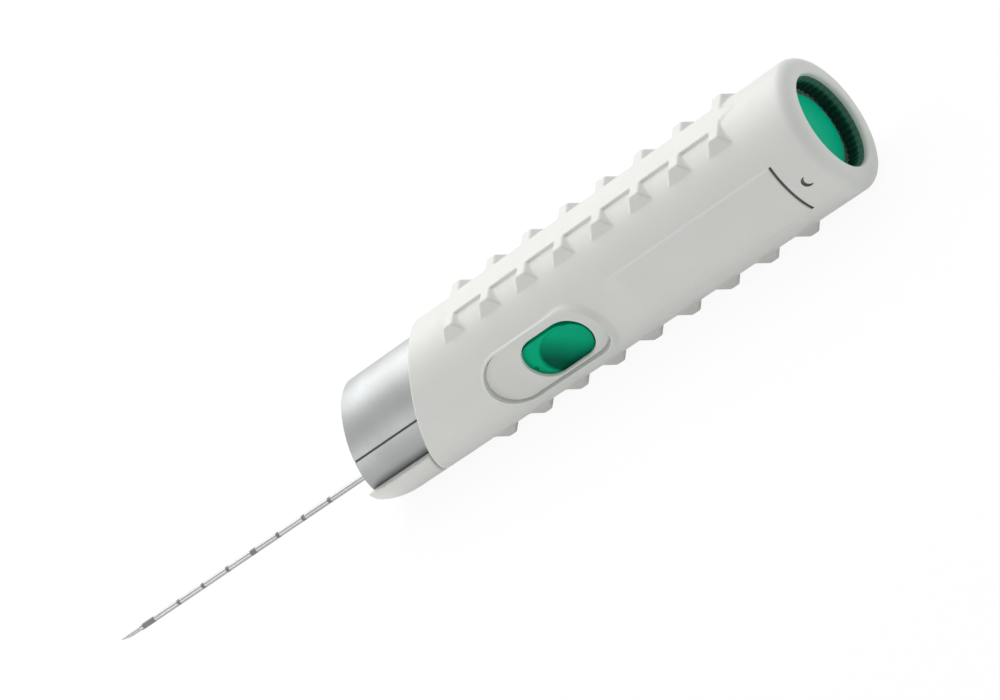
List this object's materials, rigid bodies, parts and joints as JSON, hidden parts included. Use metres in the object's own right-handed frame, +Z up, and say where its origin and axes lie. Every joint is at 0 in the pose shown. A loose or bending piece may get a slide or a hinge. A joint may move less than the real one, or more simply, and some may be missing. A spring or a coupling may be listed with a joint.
{
  "type": "core biopsy instrument",
  "caption": "Hand-held core biopsy instrument: round grip with tread bands, turning nose sleeve that cocks it, thumb and end buttons, and a notched coaxial needle.",
  "frame": {"origin": "under the middle of the whole length, on the flat of the lower tread band", "axes": "+X along the barrel from the needle to the end button, +Z up from the lower tread band to the upper one, thumb recess facing -Y"},
  "size_m": [0.2612, 0.035, 0.035],
  "materials": {
    "white_moulding": "fine matt moulded, warm white",
    "green_moulding": "satin moulded, emerald green",
    "grey_moulding": "moulded, mid grey",
    "satin_aluminium": "satin, turned and anodised",
    "needle_steel": "ground and polished",
    "bright_steel": "bright",
    "spring_wire": "drawn wire",
    "black_rubber": "matt"
  },
  "bodies": {
    "housing": {"grip_barrel": "white_moulding", "nose_cradle": "white_moulding", "needle_bush": "bright_steel", "chassis_frame": "grey_moulding", "latch_plate": "bright_steel", "guide_rod_left": "bright_steel", "guide_rod_right": "bright_steel", "cannula_stop_ring": "black_rubber", "stylet_stop_ring": "black_rubber", "sleeve_thrust_ring": "grey_moulding", "button_guide_ring": "grey_moulding", "cannula_spring": "spring_wire", "stylet_spring": "spring_wire", "trigger_spring": "spring_wire", "sleeve_return_spring": "spring_wire"},
    "cocking_sleeve": {"nose_sleeve": "satin_aluminium", "cam_ring": "grey_moulding"},
    "pusher": {"cocking_pusher": "grey_moulding", "front_pawl": "bright_steel", "rear_pawl": "bright_steel"},
    "cannula": {"cannula_tube": "needle_steel", "cannula_hub": "green_moulding", "cannula_carriage": "grey_moulding", "cannula_latch": "bright_steel"},
    "notched_stylet": {"stylet": "needle_steel", "stylet_hub": "green_moulding", "stylet_carriage": "grey_moulding", "stylet_latch": "bright_steel"},
    "trigger": {"end_button": "green_moulding", "thumb_button": "green_moulding", "trigger_bar": "grey_moulding", "release_blade": "bright_steel"}
  },
  "joints": [
    {"name": "sleeve_turn", "type": "hinge", "parent": "housing", "child": "cocking_sleeve", "pos_m": [0, 0, 0.0175], "axis": [1, 0, 0], "range_deg": [0, 90], "stiffness_Nm_per_rad": 0.05},
    {"name": "pusher_slide", "type": "slide", "parent": "housing", "child": "pusher", "axis": [1, 0, 0], "range_m": [0, 0.0221]},
    {"name": "cannula_slide", "type": "slide", "parent": "housing", "child": "cannula", "axis": [1, 0, 0], "range_m": [0, 0.022], "stiffness_N_per_m": 300, "deforming": ["cannula_spring"]},
    {"name": "stylet_slide", "type": "slide", "parent": "housing", "child": "notched_stylet", "axis": [1, 0, 0], "range_m": [0, 0.022], "stiffness_N_per_m": 300, "deforming": ["stylet_spring"]},
    {"name": "trigger_press", "type": "slide", "parent": "housing", "child": "trigger", "axis": [-1, 0, 0], "range_m": [0, 0.003], "stiffness_N_per_m": 800, "deforming": ["trigger_spring"]}
  ],
  "couplings": [
    {"joint": "pusher_slide", "follows": "sleeve_turn", "m_per_rad": 0.014006}
  ]
}
